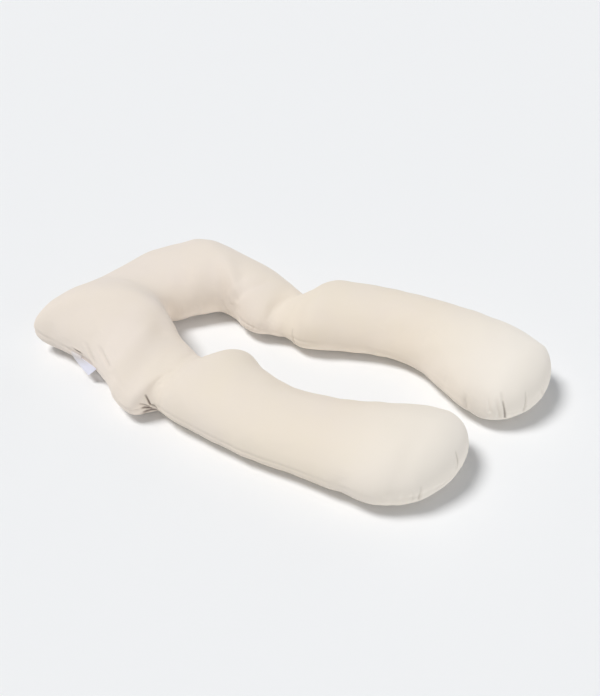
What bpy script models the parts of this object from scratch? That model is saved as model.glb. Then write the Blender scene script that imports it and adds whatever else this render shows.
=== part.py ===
"""U-shaped body pillow, lying on its back on a flat surface.

One long stuffed tube of cloth: two panels sewn together along a seam that runs right round the
outline, a square head with two plump corners, two slack necks, and two fat arms with round ends.
A small folded ribbon label hangs out of the seam beside the left corner of the head.

Frame: origin under the middle of the pillow, +Z up, the head towards +Y, the arms towards -Y.
The pillow rests on the plane Z = 0.
"""

import math
from collections import namedtuple

import bmesh
import bpy
import numpy as np

# ---- driving dimensions, in metres -------------------------------------------------------------

SEAM_HEIGHT_SHARE = 0.37     # the seam lies at this share of the crown's height
SEAM_INSET = 0.005           # how far the stitches draw the seam line inwards
SEAM_LIP_ANGLE = 6           # degrees round the section from the seam line to each puffed lip
TOP_FULLNESS = 2.05          # superellipse exponent of the top panel: 2 is an ellipse
UNDER_FULLNESS = 2.4         # the under panel is squarer, because the weight spreads it
UNDER_SINK = 0.004           # the under panel would hang this much lower if the floor let it

TOP_FACES = 22               # faces from lip to lip over the top of a section
UNDER_FACES = 10             # faces from lip to lip under a section
RING_SPACING = 0.026         # distance between two sections along the tube
PLEAT_RING_SPACING = 0.009   # the same, where sharp pleats cross the sections

END_FULLNESS = 2.0           # superellipse exponent of the arm ends, seen from above
END_START_ANGLE = 16         # degrees along that curve where an end takes over from the arm
END_RINGS = 8
END_REACH = 0.086            # how far each arm end stands beyond its last section
LEFT_END_LEAN = 0.032        # how far the left tip leans towards the inside of the U
RIGHT_END_LEAN = 0.015       # the same for the right tip

CREASE_SHOULDER = 0.25       # height of the low swell beside a crease, as a share of its depth
CREASE_SHOULDER_PLACE = 1.5  # the swell's middle, in half widths from the middle of the crease

LABEL_WIDTH = 0.040
LABEL_THICKNESS = 0.0012     # ribbon folded double
LABEL_SLANT = 0.076          # how far the free end trails along the seam, towards the neck
LABEL_DROP = 0.021           # how far it hangs below the seam
LABEL_LEAN = 0.014           # how far it leans out from the seam
LABEL_TWIST = 47             # degrees that the free end turns, from along the seam to upright
LABEL_TILT = 0.4             # how far its upper edge tips back to the pillow, as a share of its rise
LABEL_ROOT_DEPTH = 0.0012    # how far its root goes into the valley of the seam
LABEL_LIP_CLEARANCE = 0.003  # how far it passes outside the lip of the seam
LABEL_ROOT_SHARE = 0.12      # share of its length in which it leaves the seam
LABEL_FACES_LONG = 14
LABEL_FACES_WIDE = 4

# A section across the tube: its middle, its width from seam to seam, the heading (degrees from +X)
# from the seam on the inside of the U to the seam on the outside, its crown's height, how far the
# crown sits towards the inside (share of half the width), and how far the slack cloth is lifted.
Section = namedtuple("Section", "name middle_x middle_y width heading crown lean_in lift")

SECTIONS = (
    Section("left_arm_end", -0.160, -0.518, 0.302, 181, 0.173, 0.0, 0.0),
    Section("left_arm_low", -0.186, -0.470, 0.312, 183, 0.184, 0.0, 0.0),
    Section("left_arm_bulge", -0.215, -0.373, 0.284, 183, 0.174, 0.0, 0.0),
    Section("left_arm_middle", -0.239, -0.248, 0.258, 180, 0.153, 0.0, 0.0),
    Section("left_arm_high", -0.261, -0.118, 0.248, 178, 0.151, 0.0, 0.0),
    Section("left_shoulder", -0.258, -0.006, 0.262, 172, 0.160, 0.0, 0.0),
    Section("left_shoulder_top", -0.244, 0.092, 0.290, 168, 0.168, 0.0, 0.0),
    Section("left_neck_start", -0.262, 0.148, 0.242, 162, 0.136, 0.0, 0.003),
    Section("left_neck", -0.291, 0.192, 0.272, 163, 0.128, 0.0, 0.005),
    Section("left_neck_end", -0.285, 0.241, 0.268, 157, 0.129, 0.0, 0.005),
    Section("left_leg", -0.262, 0.291, 0.258, 152, 0.138, 0.0, 0.003),
    Section("left_leg_top", -0.240, 0.356, 0.272, 140, 0.153, 0.1, 0.0),
    Section("left_corner_in", -0.229, 0.447, 0.355, 128, 0.186, 0.2, 0.0),
    Section("left_corner", -0.217, 0.509, 0.400, 126, 0.206, 0.2, 0.0),
    Section("left_corner_out", -0.174, 0.532, 0.360, 124, 0.198, 0.1, 0.0),
    Section("crossbar_left", -0.098, 0.530, 0.290, 109, 0.174, 0.1, 0.0),
    Section("crossbar_hollow", -0.014, 0.508, 0.280, 88, 0.167, 0.0, 0.0),
    Section("crossbar_right", 0.057, 0.486, 0.296, 71, 0.174, 0.0, 0.0),
    Section("right_corner_out", 0.109, 0.453, 0.302, 60, 0.181, 0.1, 0.0),
    Section("right_corner", 0.160, 0.410, 0.308, 53, 0.187, 0.1, 0.0),
    Section("right_corner_in", 0.172, 0.335, 0.298, 43, 0.181, 0.1, 0.0),
    Section("right_leg", 0.166, 0.270, 0.276, 30, 0.160, 0.0, 0.002),
    Section("right_neck_start", 0.158, 0.208, 0.252, 17, 0.149, 0.0, 0.008),
    Section("right_neck", 0.153, 0.150, 0.228, 8, 0.130, 0.0, 0.014),
    Section("right_neck_end", 0.156, 0.099, 0.198, 358, 0.107, 0.0, 0.017),
    Section("right_shoulder_top", 0.176, 0.060, 0.212, 359, 0.124, 0.0, 0.011),
    Section("right_shoulder", 0.187, 0.016, 0.260, 7, 0.157, 0.0, 0.0),
    Section("right_arm_high", 0.228, -0.069, 0.257, 16, 0.160, 0.0, 0.0),
    Section("right_arm_middle", 0.273, -0.193, 0.248, 20, 0.154, 0.0, 0.0),
    Section("right_arm_bulge", 0.282, -0.317, 0.262, 9, 0.159, 0.0, 0.0),
    Section("right_arm_low", 0.260, -0.430, 0.294, 358, 0.173, 0.0, 0.0),
    Section("right_arm_bend", 0.233, -0.530, 0.318, 350, 0.184, 0.0, 0.0),
    Section("right_arm_end", 0.216, -0.594, 0.304, 344, 0.178, 0.0, 0.0),
)

# A crease pressed into the top panel along a straight line, seen from above. It starts at full
# depth, mostly at the seam, and fades out at its far end.
Crease = namedtuple("Crease", "name start_x start_y end_x end_y half_width depth")

CREASES = (
    Crease("neck_pleat_long", -0.370, 0.165, -0.385, 0.222, 0.008, 0.010),
    Crease("neck_pleat_short", -0.376, 0.183, -0.406, 0.216, 0.008, 0.008),
    Crease("shoulder_tuck", -0.380, 0.152, -0.345, 0.128, 0.010, 0.006),
    Crease("head_fold_upper", -0.350, 0.422, -0.320, 0.470, 0.014, 0.005),
    Crease("head_fold_lower", -0.362, 0.335, -0.332, 0.408, 0.014, 0.005),
    Crease("gap_corner_tuck", 0.074, 0.264, 0.070, 0.300, 0.013, 0.008),
    Crease("gap_far_corner_tuck", -0.105, 0.325, -0.160, 0.375, 0.016, 0.008),
    Crease("right_neck_notch", 0.262, 0.096, 0.190, 0.095, 0.014, 0.010),
    Crease("right_shoulder_tuck", 0.058, 0.012, 0.084, 0.044, 0.010, 0.006),
    Crease("right_end_deep", 0.096, -0.634, 0.102, -0.596, 0.010, 0.008),
    Crease("right_end_outer", 0.142, -0.664, 0.151, -0.645, 0.010, 0.005),
    Crease("right_end_inner", 0.071, -0.528, 0.080, -0.510, 0.012, 0.005),
    Crease("left_end_inner", -0.153, -0.606, -0.150, -0.584, 0.010, 0.005),
    Crease("left_end_corner", -0.277, -0.561, -0.266, -0.552, 0.010, 0.004),
)

# Stretches of the tube where sharp pleats call for closer sections.
PLEATED_STRETCHES = (("left_shoulder_top", "left_neck"), ("right_neck_end", "right_shoulder"))

# The label's root on the outer seam, between these two sections.
LABEL_BETWEEN = ("left_leg_top", "left_corner_in", 0.42)

COVER_COLOUR = (0.80, 0.72, 0.62, 1.0)
LABEL_COLOUR = (0.84, 0.84, 0.87, 1.0)


# ---- curves ------------------------------------------------------------------------------------

def smooth_through(stations, values, wanted):
    """Cubic curve through rows of values: each piece leaves and arrives with the mean slope there."""
    slopes = np.gradient(values, stations, axis=0)
    piece = np.clip(np.searchsorted(stations, wanted, side="right") - 1, 0, len(stations) - 2)
    length = stations[piece + 1] - stations[piece]
    t = (wanted - stations[piece]) / length
    if values.ndim == 2:
        t, length = t[:, None], length[:, None]
    start, end = values[piece], values[piece + 1]
    leave, arrive = slopes[piece] * length, slopes[piece + 1] * length
    return (start * (2 * t**3 - 3 * t**2 + 1) + leave * (t**3 - 2 * t**2 + t)
            + end * (3 * t**2 - 2 * t**3) + arrive * (t**3 - t**2))


def superellipse(angle, exponent):
    """Point of the unit curve |x|^n + |y|^n = 1 in the direction of an angle that sweeps it evenly."""
    across, up = np.cos(angle), np.sin(angle)
    return (np.sign(across) * np.abs(across) ** (2 / exponent),
            np.sign(up) * np.abs(up) ** (2 / exponent))


# ---- the tube's sections -----------------------------------------------------------------------

def seam_table():
    """Stations along the tube, and each section's inner and outer seam points and its heights."""
    middle = np.array([(row.middle_x, row.middle_y) for row in SECTIONS])
    heading = np.radians([row.heading for row in SECTIONS])
    half = 0.5 * np.array([row.width for row in SECTIONS])[:, None]
    outward = half * np.stack([np.cos(heading), np.sin(heading)], axis=1)
    inner, outer = middle - outward, middle + outward

    def steps(points):
        return np.linalg.norm(np.diff(points, axis=0), axis=1)

    longest = np.maximum(steps(middle), 0.5 * (steps(inner) + steps(outer)))
    stations = np.concatenate([[0.0], np.cumsum(longest)])
    heights = np.array([(row.crown, row.lean_in, row.lift) for row in SECTIONS])
    return stations, inner, outer, heights


def station_of(name, stations):
    """Station of a named section."""
    names = [row.name for row in SECTIONS]
    return stations[names.index(name)]


def ring_stations(stations):
    """Evenly spaced stations, closer together over the pleated stretches."""
    count = round(stations[-1] / RING_SPACING)
    wanted = np.linspace(0.0, stations[-1], count + 1)
    for first, last in PLEATED_STRETCHES:
        start, end = station_of(first, stations), station_of(last, stations)
        wanted = wanted[(wanted < start - 0.5 * PLEAT_RING_SPACING)
                        | (wanted > end + 0.5 * PLEAT_RING_SPACING)]
        close = np.linspace(start, end, round((end - start) / PLEAT_RING_SPACING) + 1)
        wanted = np.sort(np.concatenate([wanted, close]))
    return wanted


def end_rings(inner, outer, crown, outward_turn, lean):
    """Shrinking sections that close one arm end; the last shrinks to a point on the seam."""
    first = math.radians(END_START_ANGLE)
    angle = np.linspace(first, 0.5 * math.pi, END_RINGS + 1)[1:-1]
    full, bare = superellipse(np.array([first]), END_FULLNESS)
    shrink, stand = superellipse(angle, END_FULLNESS)
    shrink, stand = shrink / full, (stand - bare) / (1 - bare)
    middle, half = 0.5 * (inner + outer), 0.5 * (outer - inner)
    outward = half / np.linalg.norm(half)
    tip = outward_turn * END_REACH * np.array([-outward[1], outward[0]]) - lean * outward
    centres = middle + stand[:, None] * tip
    seam = np.full(len(angle), SEAM_HEIGHT_SHARE * crown)
    tops = seam + (crown - seam) * shrink
    pole = np.array([*(middle + tip), seam[0]])
    return centres - half * shrink[:, None], centres + half * shrink[:, None], tops, seam, shrink, pole


def tube_rings():
    """Inner and outer seam points, crown and seam heights and end shrink of every ring in order."""
    stations, inner, outer, heights = seam_table()
    wanted = ring_stations(stations)
    mid_inner = smooth_through(stations, inner, wanted)
    mid_outer = smooth_through(stations, outer, wanted)
    mid_crown, lean_in, lift = smooth_through(stations, heights, wanted).T
    lift = np.maximum(lift, 0.0)
    left = end_rings(inner[0], outer[0], heights[0, 0], 1.0, LEFT_END_LEAN)
    right = end_rings(inner[-1], outer[-1], heights[-1, 0], -1.0, RIGHT_END_LEAN)
    at_end = np.zeros(END_RINGS - 1)

    def joined(place, middle):
        return np.concatenate([left[place][::-1], middle, right[place]])

    rings = {
        "inner": joined(0, mid_inner),
        "outer": joined(1, mid_outer),
        "crown": joined(2, mid_crown),
        "seam": joined(3, lift + SEAM_HEIGHT_SHARE * (mid_crown - lift)),
        "shrink": joined(4, np.ones(len(wanted))),
        "lean_in": np.concatenate([at_end, lean_in, at_end]),
        "lift": np.concatenate([at_end, lift, at_end]),
    }
    return rings, left[5], right[5]


def section_profile():
    """Points round a section: share of the half width, share of the top, share of the under side."""
    lip = math.radians(SEAM_LIP_ANGLE)
    top_angle = np.linspace(lip, math.pi - lip, TOP_FACES + 1)
    under_angle = np.linspace(math.pi + lip, 2 * math.pi - lip, UNDER_FACES + 1)
    top_across, top_up = superellipse(top_angle, TOP_FULLNESS)
    under_across, under_up = superellipse(under_angle, UNDER_FULLNESS)
    nothing_above, nothing_below = np.zeros_like(top_up), np.zeros_like(under_up)
    across = np.concatenate([[1.0], top_across, [-1.0], under_across])
    rise = np.concatenate([[0.0], top_up, [0.0], nothing_below])
    fall = np.concatenate([[0.0], nothing_above, [0.0], -under_up])
    return across, rise, fall


def tube_surface(rings):
    """Grid of points, ring by ring: over the top from the outer seam, back under from the inner."""
    across, rise, fall = section_profile()
    middle = 0.5 * (rings["inner"] + rings["outer"])
    half = 0.5 * (rings["outer"] - rings["inner"])
    half_length = np.linalg.norm(half, axis=1)
    on_seam = np.abs(across) == 1.0
    inset = np.where(on_seam, SEAM_INSET, 0.0)
    shrink, lean_in = rings["shrink"][:, None], rings["lean_in"][:, None]
    share = across * (1 - inset * shrink / half_length[:, None]) - lean_in * rise**2
    seam, crown, lift = rings["seam"][:, None], rings["crown"][:, None], rings["lift"][:, None]
    height = seam + (crown - seam) * rise - (seam - lift + UNDER_SINK) * fall * shrink
    points = np.empty((len(middle), len(across), 3))
    points[..., :2] = middle[:, None] + share[..., None] * half[:, None]
    points[..., 2] = np.maximum(height, lift)
    return points, rise > 0


def surface_normals(points):
    """Unit normals of the grid, out of the tube."""
    along = np.gradient(points, axis=0)
    around = 0.5 * (np.roll(points, -1, axis=1) - np.roll(points, 1, axis=1))
    normals = np.cross(around, along)
    return normals / np.linalg.norm(normals, axis=2, keepdims=True)


def press_creases(points, on_top):
    """Move the top panel's points inwards along each crease, with a low shoulder on either side."""
    normals = surface_normals(points)
    push = np.zeros(points.shape[:2])
    for crease in CREASES:
        start = np.array([crease.start_x, crease.start_y])
        run = np.array([crease.end_x, crease.end_y]) - start
        length = np.linalg.norm(run)
        offset = points[..., :2] - start
        along = offset @ run / length
        aside = np.abs(offset @ np.array([-run[1], run[0]])) / length
        fade = np.clip(1 - along / length, 0, 1) * np.clip(1 + along / crease.half_width, 0, 1)
        ratio = aside / crease.half_width
        valley = np.clip(1 - ratio**2, 0, None) ** 2
        shoulder = CREASE_SHOULDER * np.clip(1 - (ratio - CREASE_SHOULDER_PLACE) ** 2, 0, None)
        push += crease.depth * np.sqrt(fade) * (shoulder - valley)
    push[:, ~on_top] = 0.0
    return points + push[..., None] * normals


# ---- objects -----------------------------------------------------------------------------------

def clear_scene():
    """Empty the scene of whatever it starts with."""
    for thing in list(bpy.data.objects):
        bpy.data.objects.remove(thing, do_unlink=True)


def cloth_material(name, colour, roughness):
    """Plain Principled material of one colour."""
    material = bpy.data.materials.new(name)
    material.use_nodes = True
    shader = material.node_tree.nodes["Principled BSDF"]
    shader.inputs["Base Color"].default_value = colour
    shader.inputs["Roughness"].default_value = roughness
    shader.inputs["Metallic"].default_value = 0.0
    return material


def solid_object(name, vertices, faces, material):
    """Smooth-shaded object from points and faces, its faces turned outwards."""
    mesh = bpy.data.meshes.new(name)
    mesh.from_pydata([tuple(point) for point in vertices], [], faces)
    shell = bmesh.new()
    shell.from_mesh(mesh)
    bmesh.ops.recalc_face_normals(shell, faces=shell.faces)
    shell.to_mesh(mesh)
    shell.free()
    mesh.shade_smooth()
    mesh.materials.append(material)
    body = bpy.data.objects.new(name, mesh)
    bpy.context.collection.objects.link(body)
    return body


def closed_grid_faces(ring_count, ring_size):
    """Quads between closed rings, and a fan of triangles to a pole at either end."""
    def corner(ring, place):
        return ring * ring_size + place % ring_size

    faces = [(corner(ring, place), corner(ring, place + 1), corner(ring + 1, place + 1),
              corner(ring + 1, place))
             for ring in range(ring_count - 1) for place in range(ring_size)]
    first_pole = ring_count * ring_size
    last = ring_count - 1
    faces += [(first_pole, corner(0, place + 1), corner(0, place)) for place in range(ring_size)]
    faces += [(first_pole + 1, corner(last, place), corner(last, place + 1))
              for place in range(ring_size)]
    return faces


def make_pillow():
    """The filled cover, one closed solid."""
    rings, left_pole, right_pole = tube_rings()
    points, on_top = tube_surface(rings)
    points = press_creases(points, on_top)
    vertices = np.concatenate([points.reshape(-1, 3), [left_pole, right_pole]])
    faces = closed_grid_faces(points.shape[0], points.shape[1])
    return solid_object("pillow", vertices, faces, cloth_material("cover_cotton", COVER_COLOUR, 0.9))


def label_root():
    """Seam point at the label, with the directions along the seam to the neck and out of it."""
    stations, _, outer, heights = seam_table()
    near, far, share = LABEL_BETWEEN
    here = station_of(near, stations) * (1 - share) + station_of(far, stations) * share
    pair = smooth_through(stations, outer, np.array([here, here - 0.5 * LABEL_WIDTH]))
    height = SEAM_HEIGHT_SHARE * smooth_through(stations, heights[:, 0], np.array([here]))[0]
    along = (pair[1] - pair[0]) / np.linalg.norm(pair[1] - pair[0])
    outward = np.array([along[1], -along[0]])
    if outward @ pair[0] < 0:
        outward = -outward
    return np.array([*pair[0], height]), np.array([*along, 0.0]), np.array([*outward, 0.0])


def make_side_label():
    """Folded ribbon that leaves the seam, bends over the lip and hangs with its end turned up."""
    root, along, outward = label_root()
    up = np.array([0.0, 0.0, 1.0])
    run = np.linspace(0.0, 1.0, LABEL_FACES_LONG + 1)
    out_of_seam = np.clip(run / LABEL_ROOT_SHARE, 0, 1)
    hang = np.clip((2 * run - LABEL_ROOT_SHARE) / (2 - LABEL_ROOT_SHARE), 0, 1)
    out = -LABEL_ROOT_DEPTH + (LABEL_ROOT_DEPTH + LABEL_LIP_CLEARANCE) * out_of_seam
    out += (LABEL_LEAN - LABEL_LIP_CLEARANCE) * np.sqrt(hang)
    path = (root + outward * out[:, None] + along * (LABEL_SLANT * hang)[:, None]
            - up * (LABEL_DROP * hang)[:, None])
    turn = np.radians(LABEL_TWIST) * hang
    width_way = (along * np.cos(turn)[:, None] + up * np.sin(turn)[:, None]
                 - outward * (LABEL_TILT * np.sin(turn))[:, None])
    width_way /= np.linalg.norm(width_way, axis=1, keepdims=True)
    path_way = np.gradient(path, axis=0)
    face_way = np.cross(path_way, width_way)
    face_way /= np.linalg.norm(face_way, axis=1, keepdims=True)

    wide = np.linspace(-0.5, 0.5, LABEL_FACES_WIDE + 1) * LABEL_WIDTH
    thick = 0.5 * LABEL_THICKNESS
    loop = [(place, thick) for place in wide] + [(place, -thick) for place in wide[::-1]]
    rings = np.array([[spot + across * width + normal * side for across, side in loop]
                      for spot, width, normal in zip(path, width_way, face_way)])
    size = len(loop)
    faces = [(ring * size + place, ring * size + (place + 1) % size,
              (ring + 1) * size + (place + 1) % size, (ring + 1) * size + place)
             for ring in range(len(rings) - 1) for place in range(size)]
    half = size // 2
    for base in (0, (len(rings) - 1) * size):
        faces += [(base + place, base + place + 1, base + size - 2 - place, base + size - 1 - place)
                  for place in range(half - 1)]
    return solid_object("side_label", rings.reshape(-1, 3), faces,
                        cloth_material("label_ribbon", LABEL_COLOUR, 0.6))


def stand_on_origin(pillow, others):
    """Bring the middle of the pillow's outline over the origin, and move the rest with it."""
    corners = np.array([vertex.co for vertex in pillow.data.vertices])
    middle = 0.5 * (corners.min(axis=0) + corners.max(axis=0))
    for body in (pillow, *others):
        body.location = (-middle[0], -middle[1], 0.0)


def main():
    clear_scene()
    pillow = make_pillow()
    label = make_side_label()
    stand_on_origin(pillow, [label])


main()
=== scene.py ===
"""Looks of a U-shaped body pillow: a stuffed cotton cover, a ribbon label and a studio stage.

The file is laid out as an add-on and run as a script. Lengths are in metres, +Z is up, the head
of the U lies towards +Y and its arms towards -Y.
"""

import math
from collections import namedtuple

import bpy
import numpy as np
from bpy.props import FloatProperty, FloatVectorProperty, IntProperty, PointerProperty
from bpy.types import Operator, Panel, PropertyGroup
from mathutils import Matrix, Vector


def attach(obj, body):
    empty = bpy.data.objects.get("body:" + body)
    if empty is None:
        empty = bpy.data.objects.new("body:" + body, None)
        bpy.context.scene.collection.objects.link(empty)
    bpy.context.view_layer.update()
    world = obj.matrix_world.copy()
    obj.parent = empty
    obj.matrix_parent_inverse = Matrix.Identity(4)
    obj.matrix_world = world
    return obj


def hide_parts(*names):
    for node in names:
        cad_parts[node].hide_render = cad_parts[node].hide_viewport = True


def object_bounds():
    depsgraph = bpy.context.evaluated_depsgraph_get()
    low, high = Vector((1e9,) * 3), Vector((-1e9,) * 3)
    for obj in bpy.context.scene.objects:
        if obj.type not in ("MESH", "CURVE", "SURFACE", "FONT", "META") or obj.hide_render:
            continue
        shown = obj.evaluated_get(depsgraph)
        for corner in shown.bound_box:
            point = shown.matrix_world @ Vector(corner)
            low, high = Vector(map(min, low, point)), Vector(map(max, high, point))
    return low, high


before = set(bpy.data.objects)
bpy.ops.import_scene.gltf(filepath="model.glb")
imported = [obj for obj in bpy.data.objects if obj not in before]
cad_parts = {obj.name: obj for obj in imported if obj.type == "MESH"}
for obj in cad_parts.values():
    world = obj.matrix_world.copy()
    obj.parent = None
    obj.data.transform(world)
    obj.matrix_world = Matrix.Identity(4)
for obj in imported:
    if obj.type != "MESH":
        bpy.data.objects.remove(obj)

bl_info = {
    "name": "Body Pillow",
    "version": (1, 0, 0),
    "blender": (4, 5, 0),
    "location": "3D View > Sidebar > Pillow",
    "description": "Makes a stuffed U-shaped body pillow, its ribbon label and a studio stage",
    "category": "Object",
}

CAD_LOW, CAD_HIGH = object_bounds()
BODY = "root"


def linear(hex_colour):
    """Linear RGBA of an sRGB hex colour: a straight toe, then the 2.4 power curve."""
    part = np.array([int(hex_colour[i:i + 2], 16) for i in (1, 3, 5)]) / 255
    value = np.where(part <= 0.04045, part / 12.92, ((part + 0.055) / 1.055) ** 2.4)
    return (*value.tolist(), 1.0)


# ---- the cut: sections of the tube -------------------------------------------------------------

# A section across the tube: its middle, its width from seam to seam, the heading (degrees from +X)
# from the seam on the inside of the U to the seam on the outside, its crown's height, how far the
# crown sits towards the inside (share of half the width), how far the slack cloth is lifted, and
# how strongly the thread gathers the cloth there, from 0 to 1.
Section = namedtuple("Section", "name middle_x middle_y width heading crown lean_in lift gather")

SECTIONS = (
    Section("left_arm_end", -0.160, -0.518, 0.302, 181, 0.173, 0.0, 0.0, 0.9),
    Section("left_arm_low", -0.186, -0.470, 0.312, 183, 0.184, 0.0, 0.0, 0.6),
    Section("left_arm_bulge", -0.215, -0.373, 0.284, 183, 0.174, 0.0, 0.0, 0.2),
    Section("left_arm_middle", -0.239, -0.248, 0.258, 180, 0.153, 0.0, 0.0, 0.2),
    Section("left_arm_high", -0.261, -0.118, 0.248, 178, 0.151, 0.0, 0.0, 0.2),
    Section("left_shoulder", -0.258, -0.006, 0.262, 172, 0.160, 0.0, 0.0, 0.2),
    Section("left_shoulder_top", -0.244, 0.092, 0.290, 168, 0.168, 0.0, 0.0, 0.3),
    Section("left_neck_start", -0.262, 0.148, 0.242, 162, 0.136, 0.0, 0.003, 0.9),
    Section("left_neck", -0.291, 0.192, 0.272, 163, 0.128, 0.0, 0.005, 0.8),
    Section("left_neck_end", -0.285, 0.241, 0.268, 157, 0.129, 0.0, 0.005, 0.4),
    Section("left_leg", -0.262, 0.291, 0.258, 152, 0.138, 0.0, 0.003, 0.4),
    Section("left_leg_top", -0.240, 0.356, 0.272, 140, 0.153, 0.1, 0.0, 0.6),
    Section("left_corner_in", -0.229, 0.447, 0.355, 128, 0.186, 0.2, 0.0, 0.6),
    Section("left_corner", -0.217, 0.509, 0.400, 126, 0.206, 0.2, 0.0, 0.4),
    Section("left_corner_out", -0.174, 0.532, 0.360, 124, 0.198, 0.1, 0.0, 0.3),
    Section("crossbar_left", -0.098, 0.530, 0.290, 109, 0.174, 0.1, 0.0, 0.2),
    Section("crossbar_hollow", -0.014, 0.508, 0.280, 88, 0.167, 0.0, 0.0, 0.2),
    Section("crossbar_right", 0.057, 0.486, 0.296, 71, 0.174, 0.0, 0.0, 0.2),
    Section("right_corner_out", 0.109, 0.453, 0.302, 60, 0.181, 0.1, 0.0, 0.3),
    Section("right_corner", 0.160, 0.410, 0.308, 53, 0.187, 0.1, 0.0, 0.3),
    Section("right_corner_in", 0.172, 0.335, 0.298, 43, 0.181, 0.1, 0.0, 0.3),
    Section("right_leg", 0.166, 0.270, 0.276, 30, 0.160, 0.0, 0.002, 0.4),
    Section("right_neck_start", 0.158, 0.208, 0.252, 17, 0.149, 0.0, 0.008, 0.5),
    Section("right_neck", 0.153, 0.150, 0.228, 8, 0.130, 0.0, 0.014, 0.7),
    Section("right_neck_end", 0.156, 0.099, 0.198, 358, 0.107, 0.0, 0.017, 1.0),
    Section("right_shoulder_top", 0.176, 0.060, 0.212, 359, 0.124, 0.0, 0.011, 0.8),
    Section("right_shoulder", 0.187, 0.016, 0.260, 7, 0.157, 0.0, 0.0, 0.4),
    Section("right_arm_high", 0.228, -0.069, 0.257, 16, 0.160, 0.0, 0.0, 0.2),
    Section("right_arm_middle", 0.273, -0.193, 0.248, 20, 0.154, 0.0, 0.0, 0.2),
    Section("right_arm_bulge", 0.282, -0.317, 0.262, 9, 0.159, 0.0, 0.0, 0.2),
    Section("right_arm_low", 0.260, -0.430, 0.294, 358, 0.173, 0.0, 0.0, 0.3),
    Section("right_arm_bend", 0.233, -0.530, 0.318, 350, 0.184, 0.0, 0.0, 0.6),
    Section("right_arm_end", 0.216, -0.594, 0.304, 344, 0.178, 0.0, 0.0, 0.9),
)

SEAM_HEIGHT_SHARE = 0.37     # the seam lies at this share of the crown's height
TOP_FULLNESS = 2.05          # superellipse exponent of the top panel: 2 is an ellipse
UNDER_FULLNESS = 2.4         # the under panel is squarer, because the weight spreads it
UNDER_SINK = 0.004           # the under panel would hang this much lower if the floor let it
END_START_ANGLE = 16         # degrees round the quarter circle where an end takes over from the arm
END_REACH = 0.086            # how far each arm end stands beyond its last full section
LEFT_END_LEAN = 0.032        # how far the left tip leans towards the inside of the U
RIGHT_END_LEAN = 0.015       # the same for the right tip
PATTERN_HALF_WIDTH = 0.135   # half width of the section that spaces the points round the tube
PATTERN_HEIGHT = 0.100       # and the height of its top panel above the seam
PATTERN_STEPS = 4000         # short steps in which that section's girth is measured

# Grids of the cover: spacing of its rings and rings on each arm end, faces of the top and under
# panels round it, and how strongly these crowd towards the seams.
Grid = namedtuple("Grid", "spacing end_rings top_faces under_faces crowding")
COVER_GRID = Grid(0.0080, 64, 118, 58, 0.55)
STUFFING_GRID = Grid(0.012, 8, 56, 30, 0.35)
OUTLINE_GRID = Grid(0.012, 12, 48, 24, 0.0)

# Stretches of the tube where folds call for closer rings: first and last section, ring spacing.
CLOSE_STRETCHES = (
    ("left_shoulder_top", "left_neck_start", 0.0034),
    ("left_neck_start", "left_neck_end", 0.0016),
    ("right_neck_start", "right_shoulder", 0.0034),
)

# The stuffing: how the cloth behaves while the filling presses it out.
CLOTH = {
    "quality": 6,
    "use_pressure": True,
    "tension_stiffness": 15,
    "compression_stiffness": 10,
    "bending_stiffness": 0.4,
}
WEIGHT_LEVELS = 10           # steps in which a point's weight in a group is given
SEAM_PULL_REACH = 0.012      # the seam's thread shortens the cloth this far on either side
SEAM_PULL_LEAST = 0.15       # share of that pull where the section has no gather
REST_HEIGHT = 0.0015         # cloth that lies this low is held by the floor
TIP_STEP = 0.01              # distance of a tip from the last ring of the stuffing's grid
BLUR_ALONG = 0.050           # changes of shape slower than this many metres along the tube,
BLUR_ROUND = 0.16            # or this share of a panel round it, are those of the cut

# An uneven wave is a sum of sines: the shortest is the longest divided by the span, and each has
# a random share of the height in this range.
SINE_SPAN = 2.6
SINE_SHARES = (0.6, 1.0)

# Unevenness of the filling: crossed waves, each with its seed and the way in which it runs.
LUMP_LENGTH = 0.17
LUMP_SINES = 4
LUMP_WAVES = ((3, (1.0, 0.3, 0.4)), (5, (-0.4, 1.0, 0.3)), (7, (0.6, -0.7, 0.6)))

# The seam's valley and the lip beside it, in seam widths, and how much of them shows.
LIP_PLACE, LIP_WIDTH, LIP_SHARE = 1.4, 0.6, 0.22
SEAM_SHOWN_INSIDE = 0.2      # share of the seam that shows on the inside of the U
SEAM_SHOWN_AT_ENDS = 0.35    # least share that shows towards the arm ends,
SEAM_FADE = 0.30             # which is full at this distance from them

# Puckers beside the seam: the longest wave along it, the number of sines, how far they reach on
# to the cloth, their share of the height, and how much the seam's valley flattens them.
Pucker = namedtuple("Pucker", "length sines reach share flattened")
PUCKERS = (Pucker(0.060, 7, 0.030, 1.0, 0.6), Pucker(0.020, 6, 0.011, 0.4, 0.0))
OUTER_SEED, INNER_SEED = 11, 23

# The ribbon label: where it leaves the outer seam, and how far its free end stands from there.
LABEL_BETWEEN = ("left_leg_top", "left_corner_in", 0.42)
LABEL_WIDTH = 0.040
LABEL_SLANT = 0.076          # how far the free end trails along the seam, towards the neck
LABEL_DROP = 0.021           # how far it hangs below the seam
LABEL_LEAN = 0.014           # how far it leans out from the seam
LABEL_TWIST = 47             # degrees that the free end turns, from along the seam to upright
LABEL_TILT = 0.4             # how far its upper edge tips back to the pillow, as a share of its rise
LABEL_ROOT_DEPTH = 0.0012    # how far its root goes into the valley of the seam
LABEL_LIP_CLEARANCE = 0.003  # how far it passes outside the lip of the seam
LABEL_ROOT_SHARE = 0.12      # share of its length in which it leaves the seam
LABEL_ROW_CROWDING = 0.8     # exponent of its rows' places: below 1 they crowd to the free end
LABEL_TURN_ROWS = 8          # faces round the fold at the free end
LABEL_LIFT_SLANT = 4.0       # its corner lifts past a line across it: how steeply the line slants,
LABEL_LIFT_START = 4.15      # and where it starts

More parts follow.
